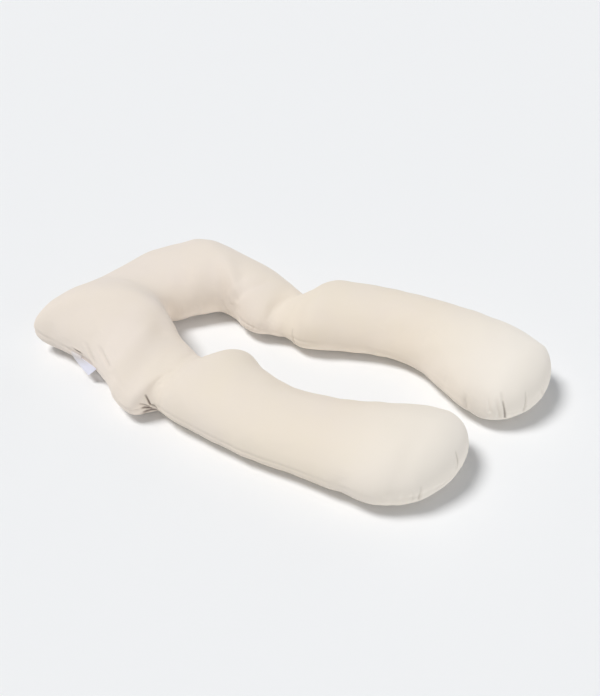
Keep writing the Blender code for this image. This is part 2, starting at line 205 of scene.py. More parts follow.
# A fold of the cover along a line in space: it is deepest at its start and dies away at its end.
# The cloth is pushed in over half_width on either side, and rolls up beside it on the side that
# roll gives: +1 to the left of the run as seen from outside, -1 to the right, 0 on both. The last
# column is painted shade: how dark a tight pleat's hidden bottom is painted, from 0 to 1.
Fold = namedtuple("Fold", "name start end half_width depth roll hidden")
FOLD_REACH = 0.030           # a fold's line may pass this far above or below the cloth
FOLD_SPREAD = 4.0            # a fold moves nothing past this many half widths
ROLL_PLACE = 1.7             # the roll's top stands this many half widths from the fold's line
ROLL_SHARE = 0.5             # its height as a share of the fold's depth
FOLD_RUN_OUT = 1.001         # lengths from its start at which a fold would be all gone

FOLDS = (
    Fold("neck_pleat_long", (-0.377, 0.1900, 0.056), (-0.382, 0.199, 0.090), 0.0038, 0.0034, 1, 0.9),
    Fold("neck_pleat_high", (-0.381, 0.192, 0.049), (-0.398, 0.209, 0.067), 0.0036, 0.0032, 1, 0.6),
    Fold("neck_pleat_mid", (-0.379, 0.189, 0.041), (-0.395, 0.206, 0.049), 0.0060, 0.0034, 1, 1.0),
    Fold("neck_pleat_low", (-0.375, 0.182, 0.028), (-0.394, 0.206, 0.026), 0.0120, 0.0030, 0, 1.0),
    Fold("neck_pleat_root", (-0.377, 0.1900, 0.056), (-0.373, 0.168, 0.043), 0.0044, 0.0030, 0, 0.6),
    Fold("label_pinch", (-0.338, 0.503, 0.073), (-0.339, 0.480, 0.070), 0.0036, 0.0055, 1, 0.9),
    Fold("head_gather_first", (-0.336, 0.549, 0.064), (-0.336, 0.572, 0.094), 0.0060, 0.0022, 1, 0.0),
    Fold("head_gather_second", (-0.335, 0.528, 0.062), (-0.334, 0.537, 0.096), 0.0060, 0.0022, 1, 0.0),
    Fold("head_fold_upper", (-0.347, 0.421, 0.070), (-0.325, 0.468, 0.108), 0.0065, 0.0045, 1, 0.1),
    Fold("head_fold_lower", (-0.352, 0.355, 0.098), (-0.322, 0.421, 0.114), 0.0085, 0.0045, 1, 0.1),
    Fold("leg_hollow", (-0.372, 0.318, 0.092), (-0.400, 0.236, 0.090), 0.0260, 0.0050, 0, 0.0),
    Fold("neck_hollow", (-0.200, 0.288, 0.138), (-0.425, 0.275, 0.080), 0.0500, 0.0070, 0, 0.07),
    Fold("neck_diagonal", (0.069, 0.226, 0.114), (0.165, 0.174, 0.142), 0.0170, 0.0036, 1, 0.0),
    Fold("far_corner_tuck", (0.072, 0.262, 0.036), (0.070, 0.290, 0.084), 0.0090, 0.0035, 0, 0.0),
    Fold("near_corner_tuck", (-0.110, 0.320, 0.066), (-0.160, 0.372, 0.130), 0.0160, 0.0035, 0, 0.0),
    Fold("neck_notch", (0.262, 0.096, 0.062), (0.165, 0.090, 0.112), 0.0140, 0.0030, 0, 0.0),
    Fold("shoulder_tuck_far", (0.063, 0.018, 0.034), (0.069, 0.030, 0.086), 0.0036, 0.0040, 1, 0.2),
    Fold("right_end_deep", (0.099, -0.626, 0.046), (0.0945, -0.612, 0.106), 0.0034, 0.0048, 1, 0.7),
    Fold("right_end_high", (0.0945, -0.614, 0.094), (0.101, -0.600, 0.128), 0.0044, 0.0030, 1, 0.1),
    Fold("right_end_outer", (0.141, -0.658, 0.062), (0.150, -0.650, 0.117), 0.0042, 0.0040, -1, 0.2),
    Fold("right_end_inner", (0.074, -0.523, 0.050), (0.078, -0.513, 0.097), 0.0060, 0.0040, 0, 0.1),
    Fold("right_end_faint", (0.075, -0.588, 0.072), (0.082, -0.574, 0.112), 0.0060, 0.0030, 0, 0.0),
    Fold("right_end_middle", (0.087, -0.612, 0.054), (0.088, -0.594, 0.110), 0.0050, 0.0032, 0, 0.05),
    Fold("right_end_back", (0.218, -0.681, 0.070), (0.203, -0.672, 0.104), 0.0048, 0.0035, 0, 0.1),
    Fold("left_end_inner", (-0.157, -0.601, 0.078), (-0.150, -0.587, 0.122), 0.0036, 0.0050, 1, 0.3),
    Fold("left_end_corner", (-0.273, -0.557, 0.050), (-0.269, -0.557, 0.092), 0.0042, 0.0040, -1, 0.2),
    Fold("left_end_side", (-0.284, -0.544, 0.058), (-0.287, -0.544, 0.086), 0.0045, 0.0024, 0, 0.0),
)

# Patterns of the cloth and the ribbon. A noise's scale is the number of its patches in a metre,
# and a wave texture takes the sine of its place times its scale times this turn.
WAVE_TEXTURE_TURN = 20
CLOUD_SCALE = 7.0            # clouds of colour about a hand across, 140 mm
NAP_SCALE = 420.0            # tufts of nap 2.4 mm across; real ones are ten times finer
WALE_PITCH = 2 * 0.0008      # the knit's columns are 0.8 mm apart
COURSE_PITCH = 2 * 0.0006    # and its rows 0.6 mm; both are drawn twice as coarse
RIB_PITCH = 0.0008           # warp threads of the ribbon; real ones are 0.25 mm apart

# Changes of the cloth's colour: the value where each starts and where it is full, and its most.
PINK_IN_CLOUDS = (0.40, 0.75, 0.6)    # by the height of the cloud noise
PINK_AT_HEAD = (0.0, 0.35, 0.7)       # by the place along Y
# Painted light: the arm ends are painted lighter, where more light falls on them.
LIGHT_AT_ENDS = (-0.30, -0.58, 0.8)    # by the place along Y
# Painted shade: near its root the ribbon is painted greyer, for shade and the cloth showing through.
RIBBON_SHADE_SHARES = (0.10, 0.34)     # the ribbon is greyer up to these shares of its length

# The stage: directions in which the lights travel, the floor, and the camera's place and aim.
KEY_TRAVEL = (0.265, -0.475, -1.0)
FILL_TRAVEL = (0.20, 0.96, -0.21)
BACK_TRAVEL = (-0.96, 0.10, -0.25)
FLOOR_HALF_SIZE = 30.0
FLOOR_DROP = 0.0004          # the paper lies this far below the object, so the two never clash
CAMERA_PLACE = (-1.4821, -1.0084, 1.5813)
CAMERA_AIM = (0.0984, 0.0180, 0.0)
CAMERA_REACH = 100.0
SENSOR_SIZE = 36.0           # mm, along the taller side of the picture
FOCAL_PIXELS = 820           # focal length, in pixels of a picture that is
IMAGE_HEIGHT = 696           # this many pixels high


# ---- curves ------------------------------------------------------------------------------------

def smooth_through(stations, values, wanted):
    """Cubic curve through rows of values: each piece leaves and arrives with the mean slope there."""
    slopes = np.gradient(values, stations, axis=0)
    piece = np.clip(np.searchsorted(stations, wanted, side="right") - 1, 0, len(stations) - 2)
    length = stations[piece + 1] - stations[piece]
    t = (wanted - stations[piece]) / length
    if values.ndim == 2:
        t, length = t[:, None], length[:, None]
    start, end = values[piece], values[piece + 1]
    leave, arrive = slopes[piece] * length, slopes[piece + 1] * length
    return (start * (2 * t**3 - 3 * t**2 + 1) + leave * (t**3 - 2 * t**2 + t)
            + end * (3 * t**2 - 2 * t**3) + arrive * (t**3 - t**2))


def superellipse(angle, exponent):
    """Point of the unit curve |x|^n + |y|^n = 1 in the direction of an angle that sweeps it."""
    across, up = np.cos(angle), np.sin(angle)
    return (np.sign(across) * np.abs(across) ** (2 / exponent),
            np.sign(up) * np.abs(up) ** (2 / exponent))


def unit(vectors):
    """Vectors brought to length 1 along the last axis."""
    return vectors / np.linalg.norm(vectors, axis=-1, keepdims=True)


def waves(place, longest, count, seed):
    """Uneven wave of about unit height: a sum of sines whose lengths fall from the longest one."""
    rng = np.random.default_rng(seed)
    lengths = longest / np.linspace(1.0, SINE_SPAN, count)
    total = np.zeros_like(place)
    for length, phase, share in zip(lengths, rng.uniform(0, 2 * np.pi, count),
                                    rng.uniform(*SINE_SHARES, count)):
        total += share * np.sin(2 * np.pi * place / length + phase)
    return total / math.sqrt(count)


# ---- the tube ----------------------------------------------------------------------------------

class Tube:
    """The sections joined into a tube, with two closed ends.

    A point has a place along the tube (metres, below 0 and above its length on the ends) and a
    place round it: a share across, a share of the top's height and a share of the under side's.
    """

    def __init__(self):
        middle = np.array([(row.middle_x, row.middle_y) for row in SECTIONS])
        heading = np.radians([row.heading for row in SECTIONS])
        half = 0.5 * np.array([row.width for row in SECTIONS])[:, None]
        outward = half * np.stack([np.cos(heading), np.sin(heading)], axis=1)
        inner, outer = middle - outward, middle + outward

        def steps(points):
            return np.linalg.norm(np.diff(points, axis=0), axis=1)

        longest = np.maximum(steps(middle), 0.5 * (steps(inner) + steps(outer)))
        self.stations = np.concatenate([[0.0], np.cumsum(longest)])
        self.length = self.stations[-1]
        heights = [(row.crown, row.lean_in, row.lift, row.gather) for row in SECTIONS]
        self.table = np.concatenate([inner, outer, np.array(heights)], axis=1)

    def station(self, name):
        """Station of a named section."""
        return self.stations[[row.name for row in SECTIONS].index(name)]

    def ring_places(self, grid, close=()):
        """Places of the rings: even steps, closer stretches, and rings that close in on each tip."""
        count = round(self.length / grid.spacing)
        places = np.linspace(0.0, self.length, count + 1)
        for first, last, fine in close:
            start, end = self.station(first), self.station(last)
            gap = 0.5 * grid.spacing
            places = places[(places < start - gap) | (places > end + gap)]
            dense = np.linspace(start, end, round((end - start) / fine) + 1)
            places = np.sort(np.concatenate([places, dense]))
        steps = END_REACH * np.arange(1, grid.end_rings) / grid.end_rings
        return np.concatenate([-steps[::-1], places, self.length + steps])

    def rings(self, places):
        """Seam points, heights and shares of the rings at these places."""
        past = np.clip(np.maximum(-places, places - self.length) / END_REACH, 0.0, 1.0)
        first = math.radians(END_START_ANGLE)
        angle = first + (0.5 * np.pi - first) * past
        shrink = np.cos(angle) / math.cos(first)
        stand = (np.sin(angle) - math.sin(first)) / (1 - math.sin(first))
        row = smooth_through(self.stations, self.table, np.clip(places, 0.0, self.length))
        inner, outer = row[:, 0:2], row[:, 2:4]
        middle, half = 0.5 * (inner + outer), 0.5 * (outer - inner)
        outward = unit(half)
        ahead = np.stack([-outward[:, 1], outward[:, 0]], axis=1)
        on_left = (places < 0.5 * self.length)[:, None]
        tip = np.where(on_left, END_REACH * ahead - LEFT_END_LEAN * outward,
                       -END_REACH * ahead - RIGHT_END_LEAN * outward)
        centre = middle + stand[:, None] * tip
        crown, lift = row[:, 4], np.maximum(row[:, 6], 0.0)
        seam = lift + SEAM_HEIGHT_SHARE * (crown - lift)
        return {
            "centre": centre,
            "half": half * shrink[:, None],
            "seam": seam,
            "crown": seam + (crown - seam) * shrink,
            "lean_in": row[:, 5] * shrink,
            "lift": lift,
            "shrink": shrink,
            "gather": np.clip(row[:, 7], 0.0, 1.0),
        }


class Girth:
    """Points round a section, evenly spaced on cloth but closer beside the seams.

    Place 0 is the outer seam; the points run over the top to the inner seam and back under.
    """

    def __init__(self, grid):
        top_faces, under_faces, crowding = grid.top_faces, grid.under_faces, grid.crowding
        top = self.panel(0.0, np.pi, TOP_FULLNESS, PATTERN_HEIGHT, top_faces, crowding)
        drop = PATTERN_HEIGHT * SEAM_HEIGHT_SHARE / (1 - SEAM_HEIGHT_SHARE)
        under = self.panel(np.pi, 2 * np.pi, UNDER_FULLNESS, drop, under_faces, crowding)
        self.across, height, self.from_seam, self.flat = (
            np.concatenate([a[:-1], b[:-1]]) for a, b in zip(top, under))
        self.rise = np.maximum(height, 0.0)
        self.fall = np.maximum(-height, 0.0)
        self.place = np.concatenate([np.linspace(0, 1, top_faces + 1)[:-1],
                                     np.linspace(1, 2, under_faces + 1)[:-1]])

    @staticmethod
    def panel(start, end, fullness, height, faces, crowding):
        """Share across, share of height, cloth's distance from the seam, and from the middle."""
        across, up = superellipse(np.linspace(start, end, PATTERN_STEPS + 1), fullness)
        step = np.hypot(np.diff(across) * PATTERN_HALF_WIDTH, np.diff(up) * height)
        run = np.concatenate([[0.0], np.cumsum(step)])
        t = np.linspace(0.0, 1.0, faces + 1)
        wanted = run[-1] * (t - crowding * np.sin(2 * np.pi * t) / (2 * np.pi))
        near = np.minimum(wanted, run[-1] - wanted)
        flat = (0.5 * run[-1] - wanted) * (1.0 if start == 0.0 else -1.0)
        return np.interp(wanted, run, across), np.interp(wanted, run, up), near, flat


def tube_points(rings, girth):
    """Grid of points: across the half width, up to the crown by its rise, down by its fall."""
    lean_in, seam = rings["lean_in"][:, None], rings["seam"][:, None]
    crown, lift = rings["crown"][:, None], rings["lift"][:, None]
    share = girth.across - lean_in * girth.rise**2
    sink = (seam - lift + UNDER_SINK) * rings["shrink"][:, None]
    height = seam + (crown - seam) * girth.rise - sink * girth.fall
    points = np.empty((len(seam), len(girth.across), 3))
    points[..., :2] = rings["centre"][:, None] + share[..., None] * rings["half"][:, None]
    points[..., 2] = np.maximum(height, lift)
    return points


def grid_normals(points):
    """Unit normals of the grid, out of the tube."""
    along = np.gradient(points, axis=0)
    around = 0.5 * (np.roll(points, -1, axis=1) - np.roll(points, 1, axis=1))
    return unit(np.cross(around, along))


def pattern_shift(tube):
    """Step from the sections' own frame to the CAD frame, which is centred under the outline."""
    points = tube_points(tube.rings(tube.ring_places(OUTLINE_GRID)), Girth(OUTLINE_GRID))
    outline = 0.5 * (points.min(axis=(0, 1)) + points.max(axis=(0, 1)))
    return (0.5 * (np.array(CAD_LOW) + np.array(CAD_HIGH)) - outline)[:2]


def tube_ends(tube):
    """Places of the two tips."""
    return np.array([-END_REACH, tube.length + END_REACH])


def tip_points(tube):
    """The two points on the seam where the arm ends close."""
    tips = tube.rings(tube_ends(tube))
    return np.concatenate([tips["centre"], tips["seam"][:, None]], axis=1)


def closed_tube_mesh(name, points, tips, chart=None):
    """Mesh of quads round the tube with a fan to each tip; chart gives each point's cloth place."""
    rings, around = points.shape[:2]
    ring = np.arange(rings - 1)[:, None] * around
    here = np.arange(around)[None, :]
    after = (here + 1) % around
    quads = np.stack([ring + here, ring + after, ring + around + after, ring + around + here], -1)
    place = np.arange(around)
    first, last = rings * around, (rings - 1) * around
    fan = np.stack([np.full(around, first), (place + 1) % around, place], -1)
    far_fan = np.stack([np.full(around, first + 1), last + place, last + (place + 1) % around], -1)
    faces = quads.reshape(-1, 4).tolist() + fan.tolist() + far_fan.tolist()
    mesh = bpy.data.meshes.new(name)
    mesh.from_pydata(np.concatenate([points.reshape(-1, 3), tips]).tolist(), [], faces)
    mesh.shade_smooth()
    if chart is not None:
        add_chart(mesh, "cloth", chart)
    return mesh


def add_chart(mesh, name, chart):
    """UV map that gives each point its place on the cloth, in metres."""
    corner = np.empty(len(mesh.loops), dtype=np.int32)
    mesh.loops.foreach_get("vertex_index", corner)
    layer = mesh.uv_layers.new(name=name)
    layer.data.foreach_set("uv", chart[corner].astype(np.float32).ravel())


def new_object(name, mesh, *materials):
    """Object of a finished mesh, linked to the scene."""
    for material in materials:
        mesh.materials.append(material)
    piece = bpy.data.objects.new(name, mesh)
    bpy.context.scene.collection.objects.link(piece)
    return piece


def mesh_points(mesh):
    """Coordinates of a mesh's points as an array."""
    flat = np.empty(3 * len(mesh.vertices), dtype=np.float32)
    mesh.vertices.foreach_get("co", flat)
    return flat.reshape(-1, 3).astype(float)


# ---- stuffing and folds ------------------------------------------------------------------------

def fill_group(group, weight):
    """Give a grid of weights, rounded to even levels, to the points of a vertex group."""
    levels = np.round(np.clip(weight, 0, 1) * WEIGHT_LEVELS).astype(int).ravel()
    for level in np.unique(levels[levels > 0]):
        group.add(np.flatnonzero(levels == level).tolist(), level / WEIGHT_LEVELS, "REPLACE")


def stuffed(tube, settings):
    """Movement of a coarse grid of the cover when it is blown up, with the grid's two axes.

    The cover starts a little slimmer, and cloth that touches the floor is held. Of the movement
    the slow changes of shape are taken out, its length is capped, and a share of it is kept.
    """
    girth = Girth(STUFFING_GRID)
    places = tube.ring_places(STUFFING_GRID)
    rings = tube.rings(places)
    target = tube_points(rings, girth)
    tips = tip_points(tube)
    slimmer = target - settings.slimmer * grid_normals(target)
    slimmer[..., 2] = np.maximum(slimmer[..., 2], rings["lift"][:, None])
    mesh = closed_tube_mesh("stuffing", slimmer, tips)
    filling = new_object("stuffing", mesh)

    close = np.exp(-(girth.from_seam / SEAM_PULL_REACH) ** 2)[None, :]
    gathered = SEAM_PULL_LEAST + (1 - SEAM_PULL_LEAST) * rings["gather"][:, None]
    fill_group(filling.vertex_groups.new(name="seam_pull"), close * gathered)
    fill_group(filling.vertex_groups.new(name="rests"), 1.0 * (slimmer[..., 2] <= REST_HEIGHT))

    cloth = filling.modifiers.new("cloth", "CLOTH")
    for name, value in CLOTH.items():
        setattr(cloth.settings, name, value)
    cloth.settings.uniform_pressure_force = settings.pressure
    cloth.settings.shrink_max = settings.seam_gather
    cloth.settings.vertex_group_shrink = "seam_pull"
    cloth.settings.vertex_group_mass = "rests"
    cloth.settings.effector_weights.gravity = 0
    cloth.collision_settings.use_collision = False
    scene = bpy.context.scene
    for moment in range(1, settings.frames + 1):
        scene.frame_set(moment)
    blown = filling.evaluated_get(bpy.context.evaluated_depsgraph_get())
    moved = mesh_points(blown.data)[:target.size // 3].reshape(target.shape) - target
    bpy.data.objects.remove(filling, do_unlink=True)
    bpy.data.meshes.remove(mesh)
    scene.frame_set(1)
    moved -= settings.held_shape * blurred(moved, places, girth.place)
    reach = np.maximum(np.linalg.norm(moved, axis=2, keepdims=True), 1e-9)
    moved *= settings.wrinkle_share * np.minimum(1.0, settings.most_movement / reach)
    return places, girth.place, moved


def blurred(moved, places, around):
    """Movement averaged over a hand's breadth with a Gaussian weight, along and round the tube."""
    along = np.exp(-0.5 * ((places[:, None] - places[None, :]) / BLUR_ALONG) ** 2)
    apart = np.abs(around[:, None] - around[None, :])
    ring = np.exp(-0.5 * (np.minimum(apart, 2 - apart) / BLUR_ROUND) ** 2)
    along /= along.sum(axis=1, keepdims=True)
    ring /= ring.sum(axis=1, keepdims=True)
    return np.einsum("ab,bcd,ec->aed", along, moved, ring)


def finer(places, around, moved, wanted_places, wanted_around):
    """The coarse grid's movement read at a finer grid's places, along the tube and then round it."""
    count = len(places)
    tips = moved[[0, -1]].mean(axis=1, keepdims=True) * np.ones_like(moved[:1])
    closed = np.concatenate([tips[:1], moved, tips[1:]])
    along = np.concatenate([[places[0] - TIP_STEP], places, [places[-1] + TIP_STEP]])
    rows = smooth_through(along, closed.reshape(count + 2, -1), wanted_places)
    rows = rows.reshape(len(wanted_places), len(around), 3).transpose(1, 0, 2)
    wrapped = np.concatenate([rows[-2:], rows, rows[:2]])
    ring = np.concatenate([around[-2:] - 2, around, around[:2] + 2])
    turned = smooth_through(ring, wrapped.reshape(len(ring), -1), wanted_around)
    return turned.reshape(len(wanted_around), len(wanted_places), 3).transpose(1, 0, 2)


def folded(points, normals):
    """Push of each point out of the surface from the table of folds, and its painted shade.

    Distances are taken along the surface. Across a fold the push is a cosine-squared valley of its
    depth, with a soft roll of cloth on one or both sides. Along it the depth dies away as a square
    root. A point's painted shade is the fold's share times the square root of its depth there. Where
    folds meet the deeper valley, the higher roll and the darker painted shade hold.
    """
    rolls = np.zeros(points.shape[:2])
    valleys = np.zeros(points.shape[:2])
    hidden = np.zeros(points.shape[:2])
    for fold in FOLDS:
        start, end = np.array(fold.start), np.array(fold.end)
        length = np.linalg.norm(end - start)
        run = (end - start) / length
        offset = points - start
        along = np.clip(offset @ run, 0.0, length)
        side = offset - along[..., None] * run
        depth = np.einsum("ijk,ijk->ij", side, normals)
        distance = np.linalg.norm(side - depth[..., None] * normals, axis=2)
        near = np.clip(2.0 - np.abs(depth) / FOLD_REACH, 0.0, 1.0)
        near *= distance < FOLD_SPREAD * fold.half_width
        left = np.sign(np.einsum("ijk,ijk->ij", np.cross(normals, run), side))
        ratio = distance / fold.half_width
        valley = np.cos(0.5 * np.pi * np.clip(ratio, 0, 1)) ** 2
        roll = np.clip(1 - (ratio - ROLL_PLACE) ** 2, 0, None) ** 2
        one_side = 0.5 + 0.5 * fold.roll * left if fold.roll else 0.5
        fade = np.sqrt(np.clip(1 - along / (length * FOLD_RUN_OUT), 0, 1))
        rolls = np.maximum(rolls, near * fold.depth * fade * ROLL_SHARE * roll * one_side)
        valleys = np.maximum(valleys, near * fold.depth * fade * valley)
        # painted shade: how dark the bottom of this fold is painted
        hidden = np.maximum(hidden, near * fold.hidden * np.sqrt(fade * valley))
    return rolls - valleys, hidden


def seamed(tube, places, rings, girth, settings):
    """Push of each point from the seam: a narrow valley, and puckers that fan out of it.

    The valley is (1 - d/w)^2 of its depth at a distance d, with a low Gaussian lip beside it, and
    it shows less on the inside of the U and towards the arm ends. The puckers are an uneven wave
    along the seam that dies away as exp(-d^1.5), scaled by the gather of the section. All of it
    fades out where the rings of an arm end shrink to the tip, the puckers first.
    """
    shrink = rings["shrink"][:, None]
    distance = girth.from_seam[None, :]
    widths = distance / settings.seam_width
    valley = np.clip(1 - widths, 0, 1) ** 2
    lip = LIP_SHARE * np.exp(-((widths - LIP_PLACE) / LIP_WIDTH) ** 2)
    inside = (np.abs(girth.place - 1.0) < 0.5)[None, :]
    from_end = np.minimum(places, tube.length - places)[:, None]
    shown = np.clip(from_end / SEAM_FADE, SEAM_SHOWN_AT_ENDS, 1.0)
    shown = shown * np.where(inside, SEAM_SHOWN_INSIDE, 1.0)
    push = settings.seam_depth * shown * (lip - valley) * np.clip(shrink * 2, 0, 1)
    gather = rings["gather"][:, None] * np.clip(shrink * 3 - 1, 0, 1)
    for seed, side in ((OUTER_SEED, ~inside), (INNER_SEED, inside)):
        for step, pucker in enumerate(PUCKERS):
            wave = waves(places, pucker.length, pucker.sines, seed + step)[:, None]
            near = np.exp(-(distance / pucker.reach) ** 1.5) * (1 - pucker.flattened * valley)
            push += side * gather * settings.pucker_height * pucker.share * wave * near
    return push


def lumps(points, settings):
    """Soft unevenness of the filling: the mean of crossed waves of hand-sized length."""
    total = np.zeros(points.shape[:2])
    for seed, direction in LUMP_WAVES:
        total += waves(points @ np.array(direction), LUMP_LENGTH, LUMP_SINES, seed)
    return settings.lump_height * total / len(LUMP_WAVES)


# ---- label -------------------------------------------------------------------------------------

def label_frame(tube):
    """Root of the label on the outer seam, with the ways along the seam to the neck and out of it."""
    near, far, share = LABEL_BETWEEN
    here = tube.station(near) * (1 - share) + tube.station(far) * share
    row = smooth_through(tube.stations, tube.table, np.array([here, here - 0.5 * LABEL_WIDTH]))
    along = unit(row[1, 2:4] - row[0, 2:4])
    outward = np.array([along[1], -along[0]])
    outward = outward if outward @ row[0, 2:4] > 0 else -outward
    root = np.array([*row[0, 2:4], SEAM_HEIGHT_SHARE * row[0, 4]])
    return root, np.array([*along, 0.0]), np.array([*outward, 0.0])


def label_layer(tube, run):
    """Middle line of the folded ribbon, its way across and its face's way, at shares of its length.

    The line leaves the seam over the lip, then trails along the seam, drops evenly and leans out
    as a square root, while the way across turns from along the seam to upright.
    """
    root, along, outward = label_frame(tube)
    up = np.array([0.0, 0.0, 1.0])
    leaving = np.clip(run / LABEL_ROOT_SHARE, 0, 1)
    hang = np.clip((2 * run - LABEL_ROOT_SHARE) / (2 - LABEL_ROOT_SHARE), 0, 1)
    out = -LABEL_ROOT_DEPTH + (LABEL_ROOT_DEPTH + LABEL_LIP_CLEARANCE) * leaving
    out += (LABEL_LEAN - LABEL_LIP_CLEARANCE) * np.sqrt(hang)
    line = (root + outward * out[:, None] + along * (LABEL_SLANT * hang)[:, None]
            - up * (LABEL_DROP * hang)[:, None])
    turn = np.radians(LABEL_TWIST) * hang
    across = unit(along * np.cos(turn)[:, None] + up * np.sin(turn)[:, None]
                  - outward * (LABEL_TILT * np.sin(turn))[:, None])
    return line, across, unit(np.cross(np.gradient(line, axis=0), across))


def label_points(tube, settings):
    """Grid of the ribbon: out in one layer, round a half circle at the free end, back in the other.

    The layers stand apart by a sine bulge, the edges curl by the square of the place across, and
    the upper corner of the free end lifts by the square of its distance past a slanting line.
    """
    run = np.linspace(0.0, 1.0, settings.label_rows) ** LABEL_ROW_CROWDING
    line, across, face = label_layer(tube, run)
    wide = np.linspace(-1.0, 1.0, settings.label_columns)[None, :]
    apart = settings.fold_radius + settings.bulge * np.sin(np.pi * run)
    curl = settings.curl * (run**2)[:, None] * wide**2
    past = wide + LABEL_LIFT_SLANT * run[:, None] - LABEL_LIFT_START
    past = np.clip(past / (1 + LABEL_LIFT_SLANT - LABEL_LIFT_START), 0, 1)
    lifted = settings.corner_lift * past**2
    middle = line[:, None] + 0.5 * LABEL_WIDTH * wide[..., None] * across[:, None]
    front = middle + (apart[:, None] + curl + lifted)[..., None] * face[:, None]
    back = middle + (-apart[:, None] + curl)[..., None] * face[:, None]
    centre, radius = 0.5 * (front[-1] + back[-1]), 0.5 * (front[-1] - back[-1])
    angle = np.linspace(0, np.pi, LABEL_TURN_ROWS + 1)[1:-1, None, None]
    ahead = unit(line[-1] - line[-2]) * settings.fold_radius
    turned = centre + radius * np.cos(angle) + ahead * np.sin(angle)
    return np.concatenate([front, turned, back[::-1]])


def ribbon_mesh(points):
    """Mesh of the ribbon's grid, charted by its length and width, and the ribbon's whole length."""
    rows, columns = points.shape[:2]
    steps = np.linalg.norm(np.diff(points[:, columns // 2], axis=0), axis=1)
    along = np.concatenate([[0.0], np.cumsum(steps)])
    corner = np.arange((rows - 1) * columns).reshape(rows - 1, columns)[:, :-1]
    quads = np.stack([corner, corner + 1, corner + columns + 1, corner + columns], -1)
    mesh = bpy.data.meshes.new("ribbon_label")
    mesh.from_pydata(points.reshape(-1, 3).tolist(), [], quads.reshape(-1, 4).tolist())
    mesh.shade_smooth()
    chart = np.meshgrid(along, np.linspace(0, LABEL_WIDTH, columns), indexing="ij")
    add_chart(mesh, "ribbon", np.stack(chart, -1).reshape(-1, 2))
    return mesh, float(along[-1])


# ---- materials ---------------------------------------------------------------------------------

def add_node(tree, kind, links=None, values=None, **properties):
    """New node with these properties, the outputs that feed its sockets, and the sockets' values.

    A socket is given by its name, or by its number where several share a name.
    """
    node = tree.nodes.new(kind)
    for name, value in properties.items():
        setattr(node, name, value)
    for socket, value in (values or {}).items():
        node.inputs[socket].default_value = value
    for socket, output in (links or {}).items():
        tree.links.new(output, node.inputs[socket])
    return node


def new_material(name, values):
    """Node material whose Principled shader has these values; returns it, its tree and shader."""
    material = bpy.data.materials.new(name)
    material.use_nodes = True
    shader = material.node_tree.nodes["Principled BSDF"]
    for socket, value in values.items():
        shader.inputs[socket].default_value = value
    return material, material.node_tree, shader


def wave_scale(pitch):
    """Scale at which a wave texture's bands lie one pitch apart: one turn of its sine a pitch."""
    return 2 * math.pi / (WAVE_TEXTURE_TURN * pitch)


def brushed_cotton(settings):
    """Brushed cotton jersey: matt, with a soft nap that lightens where the cloth turns away.

    Undyed cotton is not quite even: hand-sized clouds run from straw to a faint pink, and the
    colour turns pinker towards the head. The arm ends are painted lighter, a painted highlight where
    more light falls on them, and the bottoms of tight pleats are painted brown as painted shade.
    Its wales are 0.8 mm apart and its courses 0.6 mm; both are drawn twice as coarse.
    """
    material, tree, shader = new_material("brushed_cotton_jersey", {
        "Roughness": 0.92, "IOR": 1.45, "Specular IOR Level": 0.25,
        "Sheen Weight": 0.18, "Sheen Roughness": 0.6})
    place = add_node(tree, "ShaderNodeTexCoord").outputs["Object"]
    along = add_node(tree, "ShaderNodeSeparateXYZ", {"Vector": place}).outputs["Y"]
    clouds = add_node(tree, "ShaderNodeTexNoise", {"Vector": place},
                      {"Scale": CLOUD_SCALE, "Detail": 3.0}).outputs["Fac"]
    shares = []
    for source, (start, full, most) in ((clouds, PINK_IN_CLOUDS), (along, PINK_AT_HEAD),
                                        (along, LIGHT_AT_ENDS)):
        ramp = add_node(tree, "ShaderNodeMapRange", {"Value": source},
                        {"From Min": start, "From Max": full, "To Max": most})
        shares.append(ramp.outputs["Result"])
    pinker = add_node(tree, "ShaderNodeMath", {0: shares[0], 1: shares[1]},
                      operation="ADD", use_clamp=True)
    # Painted shade: the bottoms of folds, darkened by the mesh's painted shade value.
    painted_shade = add_node(tree, "ShaderNodeAttribute", attribute_name="painted_shade")
    colour = add_node(tree, "ShaderNodeMix", {"Factor": pinker.outputs[0]},
                      {"A": settings.cloth_colour, "B": settings.pink_colour}, data_type="RGBA")
    # Painted light on the arm ends, then painted shade in the folds, go over the cloth's colour.
    for share, tone in ((shares[2], settings.end_light_colour),
                        (painted_shade.outputs["Fac"], settings.pleat_shade_colour)):
        colour = add_node(tree, "ShaderNodeMix", {"Factor": share, "A": colour.outputs["Result"]},
                          {"B": tone}, data_type="RGBA")
    tree.links.new(colour.outputs["Result"], shader.inputs["Base Color"])

    chart = add_node(tree, "ShaderNodeUVMap", uv_map="cloth").outputs["UV"]
    wales, courses = (
        add_node(tree, "ShaderNodeTexWave", {"Vector": chart},
                 {"Scale": wave_scale(pitch), "Distortion": 1.2, "Detail Scale": 1.5},
                 bands_direction=direction).outputs["Fac"]
        for direction, pitch in (("Y", WALE_PITCH), ("X", COURSE_PITCH)))
    stitches = add_node(tree, "ShaderNodeMath", {0: wales, 1: courses}, operation="MULTIPLY")
    nap = add_node(tree, "ShaderNodeTexNoise", {"Vector": place},
                   {"Scale": NAP_SCALE, "Detail": 2.0}).outputs["Fac"]
    height = add_node(tree, "ShaderNodeMath", {0: stitches.outputs[0], 1: nap}, operation="ADD")
    raised = add_node(tree, "ShaderNodeBump", {"Height": height.outputs[0]},
                      {"Strength": 0.16, "Distance": 0.0003})
    tree.links.new(raised.outputs["Normal"], shader.inputs["Normal"])
    return material


